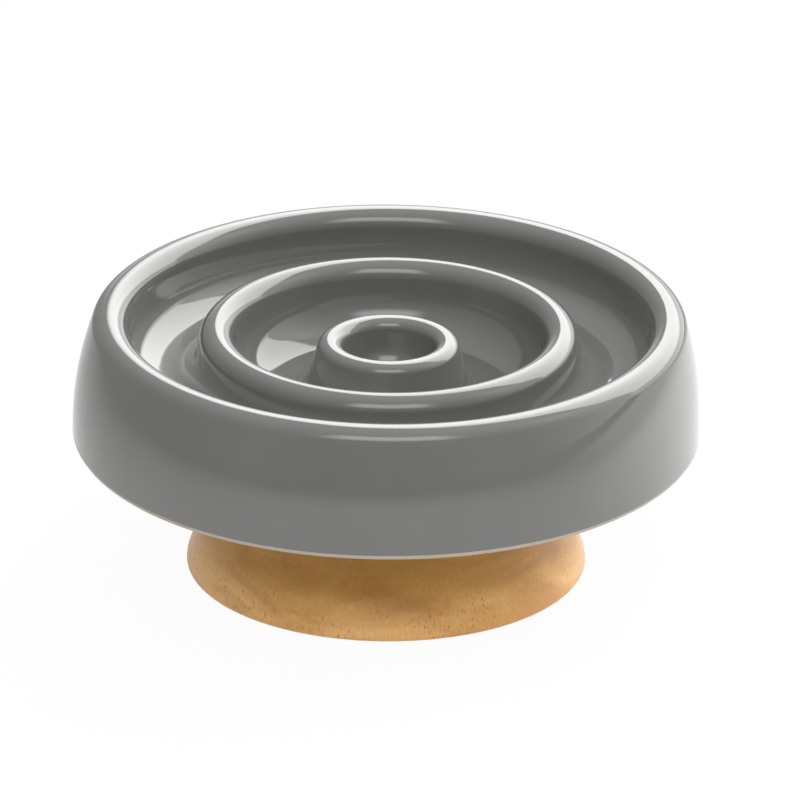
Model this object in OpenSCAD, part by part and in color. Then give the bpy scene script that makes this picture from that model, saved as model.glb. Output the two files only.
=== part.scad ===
// Slow feeder bowl: a glazed dish with two round-bottomed ring troughs, on a turned beech stand.
// Millimetres, +Z up. The origin is on the table, on the axis that the dish and the stand share.

/* [Dish] */
// Diameter of the dish at the lower edge of its skirt
dish_d = 190.5; // [180:0.5:215]
// How far the middle of the rim stands in from the lower edge
rim_inset = 11.25; // [8:0.05:14]
// Width of the rim from its outer to its inner side
rim_w = 9.9; // [8:0.1:13]
// Height of the rim above the face that the dish sits on
rim_h = 30.5; // [27:0.5:45]
// How far the rim's inner side moves in on its way down to the outer trough
rim_spread = 0.1; // [0.1:0.1:3]
// How far the skirt hangs below the face that the dish sits on
skirt_drop = 9.6; // [6:0.1:14]
// Height of the skirt's waist above its lower edge, where the wall starts to lean in more
waist_h = 21; // [14:0.2:24]
// How far the skirt has leaned in at its waist
waist_in = 0.5; // [0.2:0.1:3]
// Radius that blends the two slopes of the skirt
waist_round = 90; // [40:5:150]
// Rounding of the skirt's lower edge on its outside
skirt_edge_round = 3.3; // [1:0.1:3.5]
// Rounding of the skirt's lower edge on its inside
skirt_inner_round = 1.5; // [0.5:0.1:2]
// Thickness of the dish's walls and floor
dish_wall = 4.9; // [4:0.1:6.5]
// Rounding of the crests of the rim and of the middle ring
crest_round = 4.9; // [2:0.1:6]

/* [Outer trough] */
// Height of the outer trough's floor above the face that the dish sits on
outer_floor_h = 9.1; // [7:0.1:13]
// Rounding between the outer trough's floor and the rim
outer_trough_rim_round = 11; // [4:0.1:12]
// Rounding between the outer trough's floor and the middle ring
outer_trough_ring_round = 9.6; // [4:0.1:12]

/* [Middle ring] */
// Diameter of the middle ring, measured along the middle of its crest
ring_d = 104.2; // [92:0.1:114]
// Width of the middle ring at its crest
ring_w = 9.9; // [8:0.1:13]
// Height of the middle ring above the face that the dish sits on
ring_h = 26.5; // [22:0.1:34]
// How far the ring's outer side moves out on its way down to the outer trough
ring_outer_spread = 1.7; // [0.2:0.1:4]
// How far the ring's inner side moves in on its way down to the inner trough
ring_inner_spread = 0.8; // [0.2:0.1:4]

/* [Inner trough] */
// Rounding between the inner trough's floor and the middle ring
inner_trough_ring_round = 13.5; // [4:0.1:14]
// Rounding between the inner trough's floor and the centre cup
inner_trough_cup_round = 4.5; // [2:0.1:8]

/* [Centre cup] */
// Diameter of the centre cup, measured along the middle of its crest
cup_d = 35.4; // [26:0.1:46]
// Width of the cup's wall at its crest
cup_w = 6.9; // [5:0.1:9]
// Height of the cup above the face that the dish sits on
cup_h = 22; // [17:0.1:30]
// How far the cup's outer side moves out on its way down to the inner trough
cup_outer_spread = 4; // [0.5:0.1:6]
// How far the cup's inner side moves in on its way down to the cup's floor
cup_inner_spread = 1.4; // [0.2:0.1:3]
// Height of the cup's floor above the face that the dish sits on
cup_floor_h = 6.5; // [5:0.1:9]
// Rounding of the cup's crest
cup_crest_round = 3.2; // [1:0.1:4]
// Rounding between the cup's floor and its wall
cup_floor_round = 9; // [2:0.1:9]

/* [Underside of the dish] */
// Height of the hollow between the skirt and the outer trough, above the skirt's lower edge
hollow_h = 28; // [20:0.2:30]
// Rounding at the top of that hollow
hollow_round = 1.5; // [0.5:0.1:2]
// Rounding of the outer trough's shell on the underside
shell_round = 9.5; // [3:0.1:12]
// Width of the flat land between the locating ring and the step up under the middle ring
land_w = 4; // [2:0.1:8]
// Rounding at both ends of that step
step_round = 4; // [1:0.1:5]
// Thickness of the cast locating ring that drops round the top of the stand
locator_w = 5; // [3:0.1:7]
// How far the locating ring stands down from the face that the dish sits on
locator_drop = 3.5; // [2:0.1:4.5]
// How far the locating ring's outer side leans in on its way down
locator_lean = 0.4; // [0.1:0.1:1]
// Rounding of the locating ring
locator_round = 1.2; // [0.4:0.1:2]
// Clearance all round between the locating ring and the stand
locator_gap = 1; // [0.5:0.1:2]

/* [Stand] */
// Diameter of the stand at its foot
stand_d = 121.4; // [100:0.2:140]
// Diameter of the stand at its top
stand_top_d = 85.2; // [74:0.2:92]
// Height of the wooden stand without its pads
stand_h = 50.2; // [30:0.2:80]
// Height of the foot's widest part, where the leaning wall starts
foot_band_h = 3.5; // [2.5:0.1:8]
// How far the foot draws in over the height of that part
foot_band_in = 0.4; // [0.1:0.1:2]
// Rounding of the foot's lower edge
foot_edge_round = 1.5; // [0.5:0.1:2.5]
// Radius that blends the foot into the leaning wall
foot_wall_round = 6; // [1:0.5:12]
// Rounding of the stand's top edge
stand_top_round = 1.5; // [0.5:0.1:3]

/* [Seat ring] */
// Width of the soft ring that the dish sits on
seat_ring_w = 5; // [3:0.1:8]
// Thickness of the soft ring
seat_ring_t = 2.5; // [2:0.1:4]
// Depth of the groove that the soft ring lies in
seat_groove_depth = 1.5; // [0.8:0.1:1.6]
// Width of the wood between that groove and the stand's side
seat_edge_w = 4; // [3:0.1:10]
// Clearance between the soft ring and each side of its groove
seat_gap = 0.3; // [0.2:0.05:0.5]
// Rounding of the soft ring's edges
seat_ring_round = 0.6; // [0.2:0.1:1]

/* [Foot pads] */
// Number of pads under the stand
pad_count = 4; // [3:1:6]
// Diameter of a pad
pad_d = 12; // [8:0.1:16]
// Thickness of a pad
pad_t = 2.6; // [2:0.1:4]
// Depth of the pocket that a pad is set in
pad_pocket_depth = 1.6; // [1:0.1:1.8]
// How far a pad's middle stands in from the foot's edge
pad_inset = 12.8; // [11:0.1:20]
// Clearance round a pad in its pocket
pad_gap = 0.2; // [0.1:0.05:0.5]
// Rounding of a pad's lower edge
pad_round = 0.6; // [0.2:0.1:0.9]
// Direction of the first pad from the axis, in degrees
pad_turn = 45; // [0:5:90]

/* [Hidden] */

// How far a cut runs past the face that it opens
overrun = 1;
// Largest turn between two neighbouring points of an arc, in degrees, and the least steps of an arc
arc_step = 7.5;
arc_steps_least = 3;
// Largest share of a side that the roundings at its two ends take together
rounding_share = 0.98;
// Facets of a full circle in a preview
$fn = 120;

// Heights above the table
stand_z = pad_t - pad_pocket_depth;
stand_top_z = stand_z + stand_h;
seat_z = stand_top_z - seat_groove_depth + seat_ring_t;
skirt_z = seat_z - skirt_drop;
rim_z = seat_z + rim_h;
waist_z = skirt_z + waist_h;
hollow_z = skirt_z + hollow_h;
locator_z = seat_z - locator_drop;
outer_floor_z = seat_z + outer_floor_h;
ring_z = seat_z + ring_h;
inner_floor_z = seat_z + dish_wall;
cup_z = seat_z + cup_h;
cup_floor_z = seat_z + cup_floor_h;
foot_band_z = stand_z + foot_band_h;

// Radii of the dish
skirt_r = dish_d / 2;
waist_r = skirt_r - waist_in;
rim_outer_r = skirt_r - rim_inset + rim_w / 2;
rim_inner_r = rim_outer_r - rim_w;
outer_trough_r = rim_inner_r - rim_spread;
ring_outer_r = (ring_d + ring_w) / 2;
ring_inner_r = (ring_d - ring_w) / 2;
ring_outer_foot_r = ring_outer_r + ring_outer_spread;
ring_inner_foot_r = ring_inner_r - ring_inner_spread;
cup_outer_r = (cup_d + cup_w) / 2;
cup_inner_r = (cup_d - cup_w) / 2;
cup_outer_foot_r = cup_outer_r + cup_outer_spread;
cup_inner_foot_r = cup_inner_r - cup_inner_spread;

// Radii of the stand, and what follows them on the underside of the dish
foot_r = stand_d / 2;
foot_band_r = foot_r - foot_band_in;
stand_top_r = stand_top_d / 2;
locator_inner_r = stand_wall_r(locator_z) + locator_gap;
locator_outer_r = locator_inner_r + locator_w;
step_inner_r = max(locator_outer_r + land_w, ring_d / 2);
step_outer_r = step_inner_r + outer_floor_h - dish_wall;
groove_outer_r = stand_top_r - seat_edge_w;
groove_inner_r = groove_outer_r - seat_ring_w - 2 * seat_gap;
pad_circle_r = foot_r - pad_inset;

// Radius of the stand's leaning wall at height z
function stand_wall_r(z) =
    foot_band_r + (stand_top_r - foot_band_r) * (z - foot_band_z) / (stand_top_z - foot_band_z);

// Radius of the skirt's outer face at height z, above its waist
function skirt_wall_r(z) =
    waist_r + (rim_outer_r - waist_r) * (z - waist_z) / (rim_z - waist_z);

// An outline is a list of corners [radius, height, rounding], in order round the section.
function unit_vector(v) = v / norm(v);
function corner(outline, i) =
    let (k = (i + len(outline)) % len(outline))
    [outline[k][0], outline[k][1]];
function rounding(outline, i) = outline[(i + len(outline)) % len(outline)][2];

// Half of the angle between the two sides that meet at corner i
function half_angle(outline, i) =
    let (
        p = corner(outline, i),
        back = unit_vector(corner(outline, i - 1) - p),
        ahead = unit_vector(corner(outline, i + 1) - p)
    )
    acos(back * ahead) / 2;

// Length of side that the rounding of corner i takes
function reach(outline, i) = rounding(outline, i) / tan(half_angle(outline, i));

// How much the roundings at both ends of side i have to shrink for the side to hold them
function side_shrink(outline, i) =
    let (
        side = norm(corner(outline, i + 1) - corner(outline, i)) * rounding_share,
        taken = reach(outline, i) + reach(outline, i + 1)
    )
    taken > side ? side / taken : 1;

// The points that replace corner i: itself where it is sharp, or else an arc
function corner_points(outline, i) =
    let (
        p = corner(outline, i),
        radius = rounding(outline, i) * min(side_shrink(outline, i - 1), side_shrink(outline, i))
    )
    radius == 0 ? [p] :
    let (
        back = unit_vector(corner(outline, i - 1) - p),
        ahead = unit_vector(corner(outline, i + 1) - p),
        half = half_angle(outline, i),
        centre = p + unit_vector(back + ahead) * radius / sin(half),
        first = p + back * radius / tan(half) - centre,
        turn = sign(cross(ahead, back)) * (180 - half - half),
        steps = max(arc_steps_least, ceil(abs(turn) / arc_step))
    )
    [for (k = [0:steps]) centre + turned(first, turn * k / steps)];
function turned(v, angle) = [v.x * cos(angle) - v.y * sin(angle), v.x * sin(angle) + v.y * cos(angle)];
function outline_points(outline) =
    [for (i = [0:len(outline) - 1]) each corner_points(outline, i)];

// A solid of revolution about the common axis
module turned_solid(outline) {
    rotate_extrude() polygon(outline_points(outline));
}

// The top of the section, from the axis outward
dish_top = [
    [0, cup_floor_z, 0],
    [cup_inner_foot_r, cup_floor_z, cup_floor_round],
    [cup_inner_r, cup_z, cup_crest_round],
    [cup_outer_r, cup_z, cup_crest_round],
    [cup_outer_foot_r, inner_floor_z, inner_trough_cup_round],
    [ring_inner_foot_r, inner_floor_z, inner_trough_ring_round],
    [ring_inner_r, ring_z, crest_round],
    [ring_outer_r, ring_z, crest_round],
    [ring_outer_foot_r, outer_floor_z, outer_trough_ring_round],
    [outer_trough_r, outer_floor_z, outer_trough_rim_round],
    [rim_inner_r, rim_z, crest_round],
    [rim_outer_r, rim_z, crest_round]
];

// The skirt and the underside, from the waist back to the axis
dish_underside = [
    [waist_r, waist_z, waist_round],
    [skirt_r, skirt_z, skirt_edge_round],
    [skirt_r - dish_wall, skirt_z, skirt_inner_round],
    [skirt_wall_r(hollow_z) - dish_wall, hollow_z, hollow_round],
    [outer_trough_r + dish_wall, hollow_z, hollow_round],
    [outer_trough_r + dish_wall, outer_floor_z - dish_wall, shell_round],
    [step_outer_r, outer_floor_z - dish_wall, step_round],
    [step_inner_r, seat_z, step_round],
    [locator_outer_r, seat_z, locator_round],
    [locator_outer_r - locator_lean, locator_z, locator_round],
    [locator_inner_r, locator_z, locator_round],
    [locator_inner_r, seat_z, locator_round],
    [0, seat_z, 0]
];

module feeder_dish() {
    color("dimgray") turned_solid(concat(dish_top, dish_underside));
}

// A ring with a flat underside, a flat top and rounded edges
module flat_ring(inner_r, outer_r, low_z, high_z, round_r) {
    turned_solid([
        [inner_r, low_z, round_r],
        [outer_r, low_z, round_r],
        [outer_r, high_z, round_r],
        [inner_r, high_z, round_r]
    ]);
}

module stand() {
    color("burlywood")
    difference() {
        turned_solid([
            [0, stand_z, 0],
            [foot_r, stand_z, foot_edge_round],
            [foot_band_r, foot_band_z, foot_wall_round],
            [stand_top_r, stand_top_z, stand_top_round],
            [0, stand_top_z, 0]
        ]);
        seat_groove();
        for (i = [1:pad_count])
            at_pad(i) pad_pocket();
    }
}

// The groove for the soft ring, cut down from the top of the stand
module seat_groove() {
    translate([0, 0, stand_top_z - seat_groove_depth])
    difference() {
        cylinder(r = groove_outer_r, h = seat_groove_depth + overrun);
        translate([0, 0, -overrun])
        cylinder(r = groove_inner_r, h = seat_groove_depth + 3 * overrun);
    }
}

module pad_pocket() {
    translate([0, 0, stand_z - overrun])
    cylinder(d = pad_d + 2 * pad_gap, h = pad_pocket_depth + overrun);
}

module seat_ring() {
    color("lightgray")
    flat_ring(
        groove_inner_r + seat_gap,
        groove_outer_r - seat_gap,
        stand_top_z - seat_groove_depth,
        seat_z,
        seat_ring_round
    );
}

// Puts its child where pad i sits: the pads stand evenly round the foot
module at_pad(i) {
    rotate([0, 0, pad_turn + (i - 1) * 360 / pad_count])
    translate([pad_circle_r, 0, 0])
    children();
}

module foot_pad(i) {
    color("gray")
    at_pad(i)
    turned_solid([
        [0, 0, 0],
        [pad_d / 2, 0, pad_round],
        [pad_d / 2, pad_t, 0],
        [0, pad_t, 0]
    ]);
}

feeder_dish();
stand();
seat_ring();
for (i = [1:pad_count])
    foot_pad(i);
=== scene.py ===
# %% [markdown]
# # Dressing a slow feeder bowl
# The bowl has two main parts: a heavy glazed dish with ring-shaped troughs, and a turned
# beech stand that carries it. A soft ring lies between them and four pads lie under the stand.
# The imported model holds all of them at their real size. This lesson gives them the look of
# glaze, bare clay, oiled wood and silicone, and sets them in a small product studio.
#
# Everything is in metres and the table is at height zero. The frame that is loaded here
# never moves. A piece is dressed where it is, or a finer one takes its place.

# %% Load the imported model
import math
import bpy
from mathutils import Matrix, Vector


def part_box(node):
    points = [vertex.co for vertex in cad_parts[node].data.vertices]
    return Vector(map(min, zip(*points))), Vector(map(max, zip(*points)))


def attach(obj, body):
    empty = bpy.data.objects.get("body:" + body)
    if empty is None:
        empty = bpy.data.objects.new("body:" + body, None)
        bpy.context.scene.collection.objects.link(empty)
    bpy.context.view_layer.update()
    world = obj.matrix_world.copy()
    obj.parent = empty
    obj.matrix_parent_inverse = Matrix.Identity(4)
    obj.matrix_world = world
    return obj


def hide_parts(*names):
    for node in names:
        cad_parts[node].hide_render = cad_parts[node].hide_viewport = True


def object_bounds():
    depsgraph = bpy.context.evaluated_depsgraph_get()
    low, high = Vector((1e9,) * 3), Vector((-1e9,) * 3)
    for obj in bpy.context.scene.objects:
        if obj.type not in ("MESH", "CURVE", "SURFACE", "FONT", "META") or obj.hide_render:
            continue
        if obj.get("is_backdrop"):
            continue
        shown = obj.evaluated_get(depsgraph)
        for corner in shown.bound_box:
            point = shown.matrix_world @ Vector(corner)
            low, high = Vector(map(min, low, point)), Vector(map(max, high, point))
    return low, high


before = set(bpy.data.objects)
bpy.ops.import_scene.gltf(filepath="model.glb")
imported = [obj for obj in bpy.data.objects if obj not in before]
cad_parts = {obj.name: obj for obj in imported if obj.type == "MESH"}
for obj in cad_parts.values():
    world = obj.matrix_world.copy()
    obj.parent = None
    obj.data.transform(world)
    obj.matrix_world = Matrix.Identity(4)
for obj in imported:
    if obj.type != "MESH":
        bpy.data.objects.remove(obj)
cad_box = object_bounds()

scene = bpy.context.scene
scene.view_settings.view_transform = "Standard"
MM = 0.001
print("nodes:", ", ".join(sorted(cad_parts)))

# %% [markdown]
# ## The camera
# The photograph was taken from far away with a long lens: the near and far edges of the
# rim have almost the same width. A short lens close by could give the same height of
# view, but it would swell the front of the dish. So the camera stands four metres off
# and sees only a narrow cone.

# %% Stand the camera where the photographer stood
camera_rise = math.radians(23.4)
camera_roll = math.radians(0.38)
camera_distance = 4.0
look_at = Vector((3.95, 0, 54.26)) * MM
lens_in_mm = 595
film_width_in_mm = 36
farthest_view = 100

toward_camera = Vector((0, -math.cos(camera_rise), math.sin(camera_rise)))
camera_data = bpy.data.cameras.new("photo_camera")
camera_data.lens = lens_in_mm
camera_data.sensor_width = film_width_in_mm
camera_data.clip_end = farthest_view
camera = bpy.data.objects.new("photo_camera", camera_data)
scene.collection.objects.link(camera)
camera.rotation_mode = "QUATERNION"
upright = toward_camera.to_track_quat("Z", "Y").to_matrix()
camera.rotation_quaternion = (upright @ Matrix.Rotation(camera_roll, 3, "Z")).to_quaternion()
camera.location = look_at + toward_camera * camera_distance
scene.camera = camera
print("camera", round(camera_distance, 2), "m away,", round(math.degrees(camera_rise), 1), "degrees up")

# %% [markdown]
# ## Building materials from nodes
# A material is a small network of nodes. It could be drawn by hand in the shader editor,
# but written down it can be read and changed line by line. A few short helpers keep the
# cells below readable. The first one fills the sockets of a node: a plain value is set on
# the socket, and the output of another node is linked to it.

# %% Add a node and fill its sockets
def feed(tree, node, inputs):
    for socket, value in inputs.items():
        if isinstance(value, bpy.types.NodeSocket):
            tree.links.new(value, node.inputs[socket])
        else:
            node.inputs[socket].default_value = value


def add_node(tree, kind, inputs=None, **settings):
    node = tree.nodes.new(kind)
    for name, value in settings.items():
        setattr(node, name, value)
    feed(tree, node, inputs or {})
    return node


def start_material(name):
    material = bpy.data.materials.new(name)
    material.use_nodes = True
    return material, material.node_tree, material.node_tree.nodes["Principled BSDF"]


# %% Calculate with nodes
def calculate(tree, operation, *values):
    return add_node(tree, "ShaderNodeMath", dict(enumerate(values)), operation=operation).outputs[0]


def remapped(tree, value, low, high, new_low, new_high, **settings):
    inputs = {"Value": value, "From Min": low, "From Max": high, "To Min": new_low, "To Max": new_high}
    return add_node(tree, "ShaderNodeMapRange", inputs, **settings).outputs[0]


def soft_step(tree, value, edge, soft, falling=False):
    ends = (1, 0) if falling else (0, 1)
    low = edge - soft / 2
    high = edge + soft / 2
    return remapped(tree, value, low, high, *ends, interpolation_type="SMOOTHSTEP")


# %% [markdown]
# ## The table
# A studio table for such a picture is white and runs out of sight. If it were a plain
# white surface, the lamps would have to be very bright to make it white in the picture,
# and they would burn out the glaze. So the camera sees a table that is mostly white by
# itself, and a share of it still takes light and keeps the bowl's shadow. The glaze mirrors
# more than white: light is painted on the table as glow, a stretch before the bowl, a
# brighter pool beside it, and beyond that the table towards the main light. This painted
# light fades out softly, and only mirror images see it. From below, the table is clear, so
# that the underside of the bowl can be looked at too.

# %% Lay the table
table_half_width = 6.0

table_mesh = bpy.data.meshes.new("table")
w = table_half_width
table_mesh.from_pydata([(-w, -w, 0), (w, -w, 0), (w, w, 0), (-w, w, 0)], [], [(0, 1, 2, 3)])
table = bpy.data.objects.new("table", table_mesh)
scene.collection.objects.link(table)
table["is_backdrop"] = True
print("the table is", 2 * table_half_width, "m wide")

# %% Paint the light on the table that the glaze mirrors
painted_far_glow = 0.35
# each stretch of painted light: its middle on the table, where it fades, over how much, and its glow
painted_table_light = [
    (Vector((0, -0.17, 0)), 0.43, 0.58, 0.77),
    (Vector((0.3, 0.1, 0)), 0.19, 0.32, 1.0),
    (Vector((1.0, 0.4, 0)), 0.7, 0.5, 0.9),
]


def painted_table_glow(tree):
    place = add_node(tree, "ShaderNodeTexCoord").outputs["Object"]
    total = painted_far_glow
    for middle, edge, soft, glow in painted_table_light:
        away = add_node(tree, "ShaderNodeVectorMath", {0: place, 1: middle}, operation="DISTANCE")
        near = soft_step(tree, away.outputs["Value"], edge, soft, falling=True)
        total = calculate(tree, "MULTIPLY_ADD", near, glow, total)
    return total


# %% Paint the table white
table_white = 0.88
shadow_share = 0.05


def either(tree, share, first, second):
    return add_node(tree, "ShaderNodeMixShader", {0: share, 1: first, 2: second}).outputs[0]


def table_material():
    material, tree, surface = start_material("white_table")
    tree.nodes.remove(surface)
    path = add_node(tree, "ShaderNodeLightPath")
    side = add_node(tree, "ShaderNodeNewGeometry")
    white = (table_white, table_white, table_white, 1)
    paint = add_node(tree, "ShaderNodeBsdfDiffuse", {"Color": white}).outputs[0]
    shine = add_node(tree, "ShaderNodeEmission").outputs[0]
    # painted light: a glow laid on the table in soft pools, which only mirror images see
    painted_reflection = add_node(tree, "ShaderNodeEmission", {"Strength": painted_table_glow(tree)}).outputs[0]
    clear = add_node(tree, "ShaderNodeBsdfTransparent").outputs[0]
    shown = either(tree, 1 - shadow_share, paint, shine)
    for_gloss = either(tree, path.outputs["Is Glossy Ray"], paint, painted_reflection)
    from_above = either(tree, path.outputs["Is Camera Ray"], for_gloss, shown)
    whole = either(tree, side.outputs["Backfacing"], from_above, clear)
    feed(tree, tree.nodes["Material Output"], {"Surface": whole})
    return material


table_mesh.materials.append(table_material())
print("the table's own light makes up", 1 - shadow_share, "of what the camera sees of it")

# %% [markdown]
# ## The studio
# The glaze is a dark mirror, so what the picture shows of it is mostly the shape of the
# lights round it. They could be area lamps, but those are plain rectangles with hard
# edges. Here the whole studio is painted on the far sky round the bowl, as a function of
# direction: the azimuth is counted from the right-hand side towards the back, and the
# height above the table, both in degrees. A light is then a window in this map, and each
# of its sides can be as soft as the real one.

# %% Find the azimuth and height of a direction
sky = bpy.data.worlds.new("studio")
sky.use_nodes = True
scene.world = sky


def sky_math(operation, *values):
    return calculate(sky.node_tree, operation, *values)


direction = add_node(sky.node_tree, "ShaderNodeTexCoord").outputs["Generated"]
axes = add_node(sky.node_tree, "ShaderNodeSeparateXYZ", {0: direction}).outputs
azimuth = sky_math("DEGREES", sky_math("ARCTAN2", axes["Y"], axes["X"]))
height = sky_math("DEGREES", sky_math("ARCSINE", axes["Z"]))

# %% [markdown]
# ## Soft windows
# A window lies between two azimuths and two heights. Every side is a smooth step from
# dark to light, and the four steps are multiplied. A round soft box is a step of the angle
# between a direction and the middle of the lamp. A side is given as a pair: where its edge
# lies, and over how many degrees it fades.

# %% Shape a window and a round soft box
def sky_step(value, side, falling=False):
    edge, soft = side
    return soft_step(sky.node_tree, value, edge, soft, falling)


def window(glow, start, end, bottom, top):
    light = sky_math("MULTIPLY", sky_step(azimuth, start), sky_step(azimuth, end, falling=True))
    light = sky_math("MULTIPLY", light, sky_step(height, bottom))
    light = sky_math("MULTIPLY", light, sky_step(height, top, falling=True))
    return sky_math("MULTIPLY", light, glow)


def round_shape(middle_azimuth, middle_height, edge):
    a = math.radians(middle_azimuth)
    h = math.radians(middle_height)
    middle = (math.cos(h) * math.cos(a), math.cos(h) * math.sin(a), math.sin(h))
    inputs = {0: direction, 1: middle}
    along = add_node(sky.node_tree, "ShaderNodeVectorMath", inputs, operation="DOT_PRODUCT")
    away = sky_math("DEGREES", sky_math("ARCCOSINE", along.outputs["Value"]))
    return sky_step(away, edge, falling=True)


# %% [markdown]
# ## The lights
# The main light is one big round soft box behind and to the right. Its lower part and its
# two sides are cut straight by flags, which gives the troughs their pale patches with crisp
# edges. Under it a white wall catches some of its light and runs on dimly behind the bowl,
# and a softer glow lies to the right. A smaller soft box above the camera lights the near
# crests.

# %% Hang the lights
flagged = window(glow=4.0, start=(17, 3), end=(92, 3), bottom=(16, 6), top=(56, 4))
soft_box = round_shape(middle_azimuth=53, middle_height=17, edge=(40, 4))
main_light = sky_math("MULTIPLY", flagged, soft_box)
white_wall = window(glow=1.7, start=(14, 6), end=(75, 60), bottom=(-4, 8), top=(16, 6))
back_wall = window(glow=0.55, start=(60, 40), end=(103, 8), bottom=(-6, 8), top=(16, 6))
right_glow = window(glow=0.92, start=(-14, 50), end=(16, 8), bottom=(-5, 10), top=(58, 20))
front_light = window(glow=2.8, start=(-116, 18), end=(-62, 18), bottom=(33, 14), top=(59, 12))
lights = [main_light, white_wall, back_wall, right_glow, front_light]
print(len(lights), "lights hang in the studio")

# %% [markdown]
# ## The room
# Between the lights the room is dim, and it grows brighter towards the white ceiling. The
# front of the skirt shows a soft line where the light painted on the table ends and this dim
# room begins.

# %% Paint the room and switch the lights on
room_glow = 0.39
ceiling_glow = 0.8
ceiling_edge = (45, 90)

ceiling = sky_math("MULTIPLY", sky_step(height, ceiling_edge), ceiling_glow)
shine = room_glow
for light in [ceiling] + lights:
    shine = sky_math("ADD", light, shine)
feed(sky.node_tree, sky.node_tree.nodes["Background"], {"Color": (1, 1, 1, 1), "Strength": shine})
print("the studio is drawn with", len(sky.node_tree.nodes), "nodes")

# %% [markdown]
# ## Drawing a round section
# Both the dish and the stand are round, so each is one outline spun about the upright
# axis. Clay and wood have no sharp corners. They could be softened with a bevel after
# spinning, but then every edge would get the same radius. Here the outline is written as a
# list of corners, each with the radius that rounds it, and a helper turns every corner
# into an arc.

# %% Turn corners into arcs
arc_step = math.radians(5)
fewest_steps = 4


def corner_arc(corners, i):
    r, z, radius = corners[i]
    here = Vector((r, z))
    back = (Vector(corners[i - 1][:2]) - here).normalized()
    ahead = (Vector(corners[(i + 1) % len(corners)][:2]) - here).normalized()
    half = back.angle(ahead) / 2
    centre = here + (back + ahead).normalized() * (radius / math.sin(half))
    first = here + back * (radius / math.tan(half)) - centre
    turn = math.pi - 2 * half
    if ahead.x * back.y - ahead.y * back.x < 0:
        turn = -turn
    return centre, first, turn


def on_arc(centre, first, turn):
    c = math.cos(turn)
    s = math.sin(turn)
    return centre + Vector((first.x * c - first.y * s, first.x * s + first.y * c))


def rounded(corners):
    groups = []
    for i, (r, z, radius) in enumerate(corners):
        if radius == 0:
            groups.append([Vector((r, z))])
            continue
        centre, first, turn = corner_arc(corners, i)
        steps = max(fewest_steps, math.ceil(abs(turn) / arc_step))
        groups.append([on_arc(centre, first, turn * k / steps) for k in range(steps + 1)])
    return groups


# %% Spin a section about the upright axis
def spin(name, section_at, count):
    sections = [section_at(math.tau * k / count) for k in range(count)]
    length = len(sections[0])
    points = []
    faces = []
    index = {}
    for i in range(length):
        on_axis = sections[0][i][0] == 0
        for k, section in enumerate(sections):
            if on_axis and k:
                index[k, i] = index[0, i]
                continue
            r, z = section[i]
            a = math.tau * k / count
            index[k, i] = len(points)
            points.append((r * math.cos(a), r * math.sin(a), z))
    for i in range(length - 1):
        for k in range(count):
            beyond = (k + 1) % count
            loop = [index[k, i], index[k, i + 1], index[beyond, i + 1], index[beyond, i]]
            faces.append(list(dict.fromkeys(loop)))
    mesh = bpy.data.meshes.new(name)
    mesh.from_pydata(points, [], faces)
    mesh.polygons.foreach_set("use_smooth", [True] * len(faces))
    piece = bpy.data.objects.new(name, mesh)
    scene.collection.objects.link(piece)
    print(name, "has", len(points), "points and", len(faces), "faces")
    return piece


# %% [markdown]
# ## The shape of the dish
# The dish was cast in one piece: a skirt with a rounded rim, a round-bottomed trough, a
# middle ring, a second trough and a small cup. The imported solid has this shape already,
# but its arcs are short flats that a mirror-like glaze would show. So the same outline is
# spun again with finer arcs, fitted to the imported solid's own box.

# %% Write the outline of the dish
skirt_drop = 9.6 * MM

dish_low, dish_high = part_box("feeder_dish")
skirt_z = dish_low.z
rim_z = dish_high.z
seat_z = skirt_z + skirt_drop


def in_metres(corners):
    return [(r * MM, seat_z + z * MM, radius * MM) for r, z, radius in corners]


# corners as radius, height above the face that the dish sits on, and rounding, in millimetres
dish_corners = in_metres([
    # the floor and the wall of the cup
    (0, 6.5, 0),
    (12.85, 6.5, 9),
    (14.25, 22, 3.2),
    (21.15, 22, 3.2),
    # the inner trough
    (25.15, 4.9, 4.5),
    (45.7, 4.9, 14.3),
    # the middle ring
    (47.3, 26.5, 4.9),
    (57.05, 26.5, 4.9),
    # the outer trough
    (58.7, 9.1, 8.4),
    (70.6, 9.1, 14.5),
    (78.75, 13.8, 7.5),
    # the rim and the skirt
    (79.05, 30.2, 4.9),
    (88.95, 30.2, 4.9),
    (94.75, 11.4, 90),
    (95.25, -9.6, 3.3),
    (90.35, -9.6, 1.5),
    # the hollow under the rim and the underside of the outer trough
    (87.72, 18.4, 1.5),
    (83.85, 18.4, 1.5),
    (83.85, 4.2, 9.5),
    (57.75, 4.2, 4),
    # the seat and the ring that keeps it over the stand
    (53.55, 0, 4),
    (49.55, 0, 1.2),
    (49.15, -3.5, 1.2),
    (44.55, -3.5, 1.2),
    (44.55, 0, 1.2),
    (0, 0, 0),
])
# which corner is the lower outer edge of the skirt
skirt_edge = 14

dish_groups = rounded(dish_corners)
widest = max(point.x for group in dish_groups for point in group)
fit = dish_high.x / widest
print("the outline is", round(widest / MM, 2), "mm wide at most, and is fitted by", round(fit, 5))

# %% [markdown]
# ## Where the glaze stops
# The dish was fired standing on its skirt, so the lower edge was wiped clean first and
# shows the pale clay. The glaze ends just above in a soft lip, a fraction of a millimetre
# thick, and that line wavers a little. A change of colour alone could show it, but it would
# catch no light. So the lip is real geometry: the bare edge is drawn with a slightly smaller
# arc.

# %% Draw the wiped edge and the lip of the glaze
glaze_stop = math.radians(18)
glaze_waver = math.radians(1.5)
glaze_lip = 0.16 * MM
lip_turn = math.radians(3)
glazed_steps = 8
bare_steps = 10
# how many waves go round the dish, where they start, and the share of each
waves = ((3, 0.4, 0.35), (7, 1.9, 0.3), (16, 4.0, 0.2), (31, 2.2, 0.15))


def waver(angle):
    return sum(share * math.sin(count * angle + shift) for count, shift, share in waves)


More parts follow.
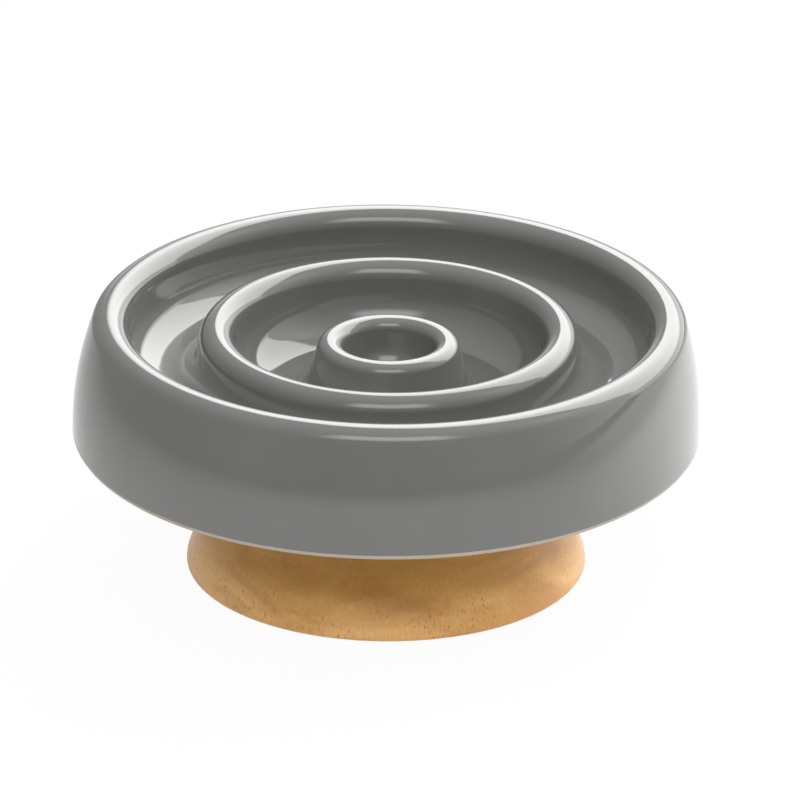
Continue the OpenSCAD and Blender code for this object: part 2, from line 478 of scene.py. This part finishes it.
def wiped_edge(angle):
    centre, first, turn = corner_arc(dish_corners, skirt_edge)
    side = math.copysign(1, turn)
    stop = side * (glaze_stop + glaze_waver * waver(angle))
    glazed = [on_arc(centre, first, stop * k / glazed_steps) for k in range(glazed_steps + 1)]
    thinner = first * (1 - glaze_lip / first.length)
    start = stop + side * lip_turn
    rest = turn - start
    bare = [on_arc(centre, thinner, start + rest * k / bare_steps) for k in range(bare_steps + 1)]
    return glazed, bare


def dish_section(angle):
    glazed, bare = wiped_edge(angle)
    groups = dish_groups[:skirt_edge] + [glazed, bare] + dish_groups[skirt_edge + 1:]
    return [(point.x * fit, point.y) for group in groups for point in group]


# %% [markdown]
# ## A dish that went through the kiln
# No fired dish is perfectly round and level. This one leans a fraction of a millimetre:
# its rim sits a little to the right of its skirt and is a little lower there. The spun
# mesh is bent by that much, from nothing at the seat to the whole amount at the rim, so that
# the dish still sits flat on its ring.

# %% Spin the dish and let it settle
rim_shift = 0.75 * MM
rim_tilt = 0.0035
dish_count = 240

dish = spin("glazed_dish", dish_section, dish_count)
for vertex in dish.data.vertices:
    share = max(0, (vertex.co.z - seat_z) / (rim_z - seat_z))
    vertex.co.z -= rim_tilt * share * vertex.co.x
    vertex.co.x += rim_shift * share

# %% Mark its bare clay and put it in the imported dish's place
bare_from = sum(len(group) for group in dish_groups[:skirt_edge]) + glazed_steps
bare_to = bare_from + bare_steps + len(dish_groups[skirt_edge + 1])
for face in dish.data.polygons:
    if bare_from <= face.index // dish_count < bare_to:
        face.material_index = 1
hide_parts("feeder_dish")
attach(dish, "dish")
print("the bare clay takes", bare_to - bare_from, "rows of faces")

# %% [markdown]
# ## Noise, tones and bumps
# Glaze, clay, wood and silicone all vary a little from place to place. A photograph of
# each could be wrapped round the pieces, but it would show a seam and end at its own
# sharpness. So every pattern here is noise that is laid through the body of the piece. One
# helper makes the noise, one turns it into a blend of two tones, one lays a tint over a
# tone, and one makes it lift the surface a little.

# %% Helpers for patterns
def noise(tree, place, scale, detail, wander=0):
    inputs = {"Vector": place, "Scale": scale, "Detail": detail, "Distortion": wander}
    return add_node(tree, "ShaderNodeTexNoise", inputs).outputs["Fac"]


def two_tones(tree, value, dark, light, start=0, end=1):
    ramp = add_node(tree, "ShaderNodeValToRGB", {0: value})
    for stop, position, colour in zip(ramp.color_ramp.elements, (start, end), (dark, light)):
        stop.position = position
        stop.color = colour
    return ramp.outputs[0]


def tinted(tree, ground, tint, amount, blend="MIX"):
    inputs = {"A": ground, "B": tint, "Factor": amount}
    return add_node(tree, "ShaderNodeMix", inputs, data_type="RGBA", blend_type=blend).outputs["Result"]


def bump(tree, pattern, distance, strength=1, below=None):
    inputs = {"Height": pattern, "Distance": distance, "Strength": strength}
    if below is not None:
        inputs["Normal"] = below
    return add_node(tree, "ShaderNodeBump", inputs).outputs[0]


# %% [markdown]
# ## The glaze
# The glaze is a glass skin over grey stoneware. Light goes into its colour, and a clear
# mirror image of the lamps lies on top. A real glaze is never quite flat: it ran a
# little in the kiln, so it swells gently over a centimetre or so and has a faint orange
# peel over a millimetre. Its tone is a little cloudy. Low in the troughs its colour is
# painted lighter, most of all in the narrow outer one: painted light that lifts their shade.
# That could be painted on the faces of the troughs, but it would end in a line, so it
# is found from the height and the distance to the axis instead.

# %% Find where the troughs get painted light
inner_share = 0.33
trough_light_top = seat_z + 19 * MM
trough_light_fade = 14 * MM
trough_edge = 80.5 * MM
trough_fade = 3 * MM
ring_middle = 54 * MM
ring_fade = 6 * MM


# painted light: how much the glaze colour is lifted low in the troughs, most in the outer one
def painted_trough_light(tree, place):
    up = add_node(tree, "ShaderNodeSeparateXYZ", {0: place}).outputs["Z"]
    flat = add_node(tree, "ShaderNodeVectorMath", {0: place, 1: (1, 1, 0)}, operation="MULTIPLY")
    length = add_node(tree, "ShaderNodeVectorMath", {0: flat.outputs[0]}, operation="LENGTH")
    out = length.outputs["Value"]
    low = soft_step(tree, up, trough_light_top, trough_light_fade, falling=True)
    inside = soft_step(tree, out, trough_edge, trough_fade, falling=True)
    outer = soft_step(tree, out, ring_middle, ring_fade)
    amount = calculate(tree, "MULTIPLY_ADD", outer, 1 - inner_share, inner_share)
    amount = calculate(tree, "MULTIPLY", amount, low)
    return calculate(tree, "MULTIPLY", amount, inside)


# %% Mix the glaze
glaze_dark = (0.126, 0.125, 0.121, 1)
glaze_light = (0.138, 0.137, 0.133, 1)
glaze_blend = (0.3, 0.7)
# the lighter grey painted low in the troughs, as painted light
trough_light_grey = (0.2, 0.199, 0.193, 1)
glaze_roughness = 0.035
glaze_ior = 1.65
# how many clouds, swells and specks of peel fit into a metre
clouds_in_metre = 30
swells_in_metre = 70
peel_in_metre = 500
swell_depth = 0.05 * MM
peel_depth = 0.001 * MM


def grey_glaze():
    material, tree, surface = start_material("grey_glaze")
    place = add_node(tree, "ShaderNodeTexCoord").outputs["Object"]
    clouds = noise(tree, place, clouds_in_metre, detail=3)
    tone = two_tones(tree, clouds, glaze_dark, glaze_light, *glaze_blend)
    grey = tinted(tree, tone, trough_light_grey, painted_trough_light(tree, place))
    swell = bump(tree, noise(tree, place, swells_in_metre, detail=1), swell_depth)
    peel = bump(tree, noise(tree, place, peel_in_metre, detail=1), peel_depth, below=swell)
    feed(tree, surface, {"Base Color": grey, "Normal": peel})
    feed(tree, surface, {"Roughness": glaze_roughness, "IOR": glaze_ior})
    return material


dish.data.materials.append(grey_glaze())
print("the glaze mirrors like glass of index", glaze_ior)

# %% [markdown]
# ## The bare clay
# Stoneware without glaze is pale, matt and gritty. A plain rough colour would do from far
# away. Close by, the grit is what tells it from plastic, so one fine noise gives both the
# speckled tone and the roughness to the touch.

# %% Mix the bare clay
clay_dark = (0.39, 0.335, 0.27, 1)
clay_light = (0.5, 0.44, 0.36, 1)
grains_in_metre = 1500
grain_depth = 0.05 * MM
grit = 0.6
clay_roughness = 0.85


def bare_clay():
    material, tree, surface = start_material("bare_clay")
    place = add_node(tree, "ShaderNodeTexCoord").outputs["Object"]
    grain = noise(tree, place, grains_in_metre, detail=4)
    tone = two_tones(tree, grain, clay_dark, clay_light)
    rough = bump(tree, grain, grain_depth, grit)
    feed(tree, surface, {"Base Color": tone, "Normal": rough, "Roughness": clay_roughness})
    return material


dish.data.materials.append(bare_clay())
print("the dish wears", ", ".join(material.name for material in dish.data.materials))

# %% [markdown]
# ## The shape of the stand
# The stand was turned from one block of beech. Its foot has a soft edge, and its wall
# leans inward up to the top, where a groove holds the soft ring. Four round
# pockets under it hold the pads. The outline is spun like the dish. The pockets could be
# built into the mesh face by face, but it is simpler to cut them out with one Boolean, just
# as a drill would cut them.

# %% Turn the stand
stand_low, stand_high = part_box("stand")
ring_low, ring_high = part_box("seat_ring")
foot_r = 60.7 * MM
foot_round = 1.5 * MM
band_h = 3.5 * MM
band_lean = 0.4 * MM
band_round = 6 * MM
top_r = 42.6 * MM
top_round = 1.5 * MM
ring_w = 5 * MM
groove_gap = 0.3 * MM
broken_edge = 0.25 * MM
stand_count = 192

groove_outer = ring_high.x + groove_gap
groove_inner = ring_high.x - ring_w - groove_gap
stand_corners = [
    (0, stand_low.z, 0),
    (foot_r, stand_low.z, foot_round),
    (foot_r - band_lean, stand_low.z + band_h, band_round),
    (top_r, stand_high.z, top_round),
    (groove_outer, stand_high.z, broken_edge),
    (groove_outer, ring_low.z, broken_edge),
    (groove_inner, ring_low.z, broken_edge),
    (groove_inner, stand_high.z, broken_edge),
    (0, stand_high.z, 0),
]
stand_outline = [(point.x, point.y) for group in rounded(stand_corners) for point in group]
stand_widest = max(r for r, z in stand_outline)
stand_outline = [(r * min(1, stand_high.x / stand_widest), z) for r, z in stand_outline]
stand = spin("beech_stand", lambda angle: stand_outline, stand_count)

# %% Make a drill for the pockets of the pads
pads = sorted(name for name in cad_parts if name.startswith("foot_pad"))
pad_gap = 0.2 * MM
drill_start = 5 * MM
drill_sides = 48


def pocket_drill():
    points = []
    faces = []
    for name in pads:
        low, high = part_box(name)
        centre = (low + high) / 2
        reach = (high.x - low.x) / 2 + pad_gap
        start = len(points)
        for z in (low.z - drill_start, high.z):
            for k in range(drill_sides):
                a = math.tau * k / drill_sides
                points.append((centre.x + reach * math.cos(a), centre.y + reach * math.sin(a), z))
        faces.append([start + k for k in reversed(range(drill_sides))])
        faces.append([start + drill_sides + k for k in range(drill_sides)])
        for k in range(drill_sides):
            beyond = (k + 1) % drill_sides
            bottom = [start + k, start + beyond]
            faces.append(bottom + [start + drill_sides + beyond, start + drill_sides + k])
    mesh = bpy.data.meshes.new("pocket_drill")
    mesh.from_pydata(points, [], faces)
    drill = bpy.data.objects.new("pocket_drill", mesh)
    scene.collection.objects.link(drill)
    return drill


# %% Drill the pockets and put the stand in its place
sharp_from = math.radians(40)

drill = pocket_drill()
cut = stand.modifiers.new("pockets", "BOOLEAN")
cut.operation = "DIFFERENCE"
cut.solver = "EXACT"
cut.object = drill
graph = bpy.context.evaluated_depsgraph_get()
stand.data = bpy.data.meshes.new_from_object(stand.evaluated_get(graph))
stand.modifiers.clear()
bpy.data.objects.remove(drill)
stand.data.set_sharp_from_angle(angle=sharp_from)
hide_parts("stand")
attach(stand, "stand")
print("the stand has", len(pads), "pockets and", len(stand.data.polygons), "faces")

# %% [markdown]
# ## Oiled beech
# Oil brings out the honey colour of beech. Three things lie over each other on it. Broad
# clouds of tone cross the wall, where the lathe cut through the growth rings. Very fine
# fibres run up the wall, because the block stands on end. And there are the short dark ticks
# that give beech away, the ends of its rays: small ones in dense patches, and a few
# long ones by themselves. Each layer is a noise or a field of cells, stretched to its
# own width and height, so the wood needs no picture and has no seam. Over all of them the
# wood is painted darker at the top, where the dish shades it, and paler towards the foot:
# painted shade.

# %% Stretch a pattern to its own width and height
block_turn = math.radians(250)
# how often each pattern repeats in a metre, round the wall and up it
cloud_rate = (26, 85)
fibre_rate = (1800, 130)
patch_rate = (45, 60)
small_tick_rate = (1250, 500)
long_tick_rate = (170, 70)


def stretched(tree, place, rate):
    around, up = rate
    inputs = {"Vector": place, "Rotation": (0, 0, block_turn), "Scale": (around, around, up)}
    return add_node(tree, "ShaderNodeMapping", inputs).outputs["Vector"]


def wood_noise(tree, place, rate, detail, wander=0):
    return noise(tree, stretched(tree, place, rate), 1, detail, wander)


# %% Paint shade on the top and light on the foot
# painted shade: the wood is darker and more saturated above the foot, under the dish, and paler at the
# foot
oiled_and_shaded_tint = (0.8, 0.71, 0.46, 1)
painted_foot_light_tint = (1.24, 1.27, 1.5, 1)
foot_light_edge = stand_low.z + 10 * MM
foot_light_fade = 14 * MM


def with_painted_shade(tree, place, wood):
    up = add_node(tree, "ShaderNodeSeparateXYZ", {0: place}).outputs["Z"]
    toward_foot = soft_step(tree, up, foot_light_edge, foot_light_fade, falling=True)
    tint = tinted(tree, oiled_and_shaded_tint, painted_foot_light_tint, toward_foot)
    return tinted(tree, wood, tint, 1, "MULTIPLY")


# %% Pick ray ticks from cells
small_tick_tone = (0.5, 0.25, 0.07, 1)
long_tick_tone = (0.17, 0.07, 0.02, 1)
# how far a tick reaches in its cell, and the share of the cells that stay without one
small_tick_size = (0.46, 0.3)
long_tick_size = (0.1, 0.75)
# between which values of the noise a patch of small ticks grows dense
patch_edge = (0.38, 0.56)


def ray_ticks(tree, place, rate, size):
    reach, rarity = size
    cells = add_node(tree, "ShaderNodeTexVoronoi", {"Vector": stretched(tree, place, rate), "Scale": 1})
    lot = add_node(tree, "ShaderNodeSeparateColor", {0: cells.outputs["Color"]}).outputs[0]
    near_middle = remapped(tree, cells.outputs["Distance"], reach / 2, reach, 1, 0)
    chosen = remapped(tree, lot, rarity, 1, 0, 1)
    return calculate(tree, "MULTIPLY", near_middle, chosen)


def with_ticks(tree, place, wood):
    patches = remapped(tree, wood_noise(tree, place, patch_rate, detail=1), *patch_edge, 0, 1)
    small = ray_ticks(tree, place, small_tick_rate, small_tick_size)
    long = ray_ticks(tree, place, long_tick_rate, long_tick_size)
    wood = tinted(tree, wood, small_tick_tone, calculate(tree, "MULTIPLY", small, patches))
    return tinted(tree, wood, long_tick_tone, long)


# %% Mix the beech
beech_dark = (0.59, 0.285, 0.066, 1)
beech_light = (0.79, 0.447, 0.138, 1)
beech_blend = (0.38, 0.62)
cloud_wander = 0.6
fibre_edge = (0.3, 0.7)
fibre_tones = (0.9, 1.06)
pore_depth = 0.02 * MM
pore_strength = 0.5
satin_roughness = (0.35, 0.5)
satin_shine = {"Specular IOR Level": 0.42, "Sheen Weight": 0.2, "Sheen Roughness": 0.5}


def oiled_beech():
    material, tree, surface = start_material("oiled_beech")
    place = add_node(tree, "ShaderNodeTexCoord").outputs["Object"]
    clouds = wood_noise(tree, place, cloud_rate, detail=4, wander=cloud_wander)
    fibres = wood_noise(tree, place, fibre_rate, detail=5)
    fibre_tone = remapped(tree, fibres, *fibre_edge, *fibre_tones)
    wood = two_tones(tree, clouds, beech_dark, beech_light, *beech_blend)
    wood = tinted(tree, wood, fibre_tone, 1, "MULTIPLY")
    wood = with_painted_shade(tree, place, wood)
    wood = with_ticks(tree, place, wood)
    pores = bump(tree, fibres, pore_depth, pore_strength)
    satin = remapped(tree, clouds, 0, 1, *satin_roughness)
    feed(tree, surface, {"Base Color": wood, "Normal": pores, "Roughness": satin})
    feed(tree, surface, satin_shine)
    return material


stand.data.materials.clear()
stand.data.materials.append(oiled_beech())
print("the beech is mixed from", len(stand.data.materials[0].node_tree.nodes), "nodes")

# %% [markdown]
# ## Silicone
# The seat ring and the pads are soft silicone: pale, matt and very slightly cloudy. Finer
# meshes could take their place too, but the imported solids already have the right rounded
# shape and mirror nothing, so they only get their material.

# %% Mix the silicone
silicone_dark = (0.52, 0.52, 0.5, 1)
silicone_light = (0.62, 0.62, 0.6, 1)
specks_in_metre = 250
skin_depth = 0.03 * MM
skin_strength = 0.3
silicone_roughness = 0.55


def pale_silicone():
    material, tree, surface = start_material("pale_silicone")
    place = add_node(tree, "ShaderNodeTexCoord").outputs["Object"]
    cloud = noise(tree, place, specks_in_metre, detail=3)
    tone = two_tones(tree, cloud, silicone_dark, silicone_light)
    skin = bump(tree, cloud, skin_depth, skin_strength)
    feed(tree, surface, {"Base Color": tone, "Normal": skin, "Roughness": silicone_roughness})
    return material


silicone = pale_silicone()
soft_pieces = ["seat_ring"] + pads
for name in soft_pieces:
    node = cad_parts[name]
    node.data.materials.clear()
    node.data.materials.append(silicone)
print(len(soft_pieces), "pieces are silicone")

# %% [markdown]
# ## Measure
# The boxes of the imported bowl and of the dressed bowl are printed, in millimetres.
# The dressed bowl may not be larger than the imported one.

# %% Print both boxes
dressed_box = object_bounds()
sizes = {"cad": [list(corner) for corner in cad_box], "visual": [list(corner) for corner in dressed_box]}
for label, (low, high) in sizes.items():
    print(label, "box in mm:", [round((b - a) / MM, 2) for a, b in zip(low, high)])
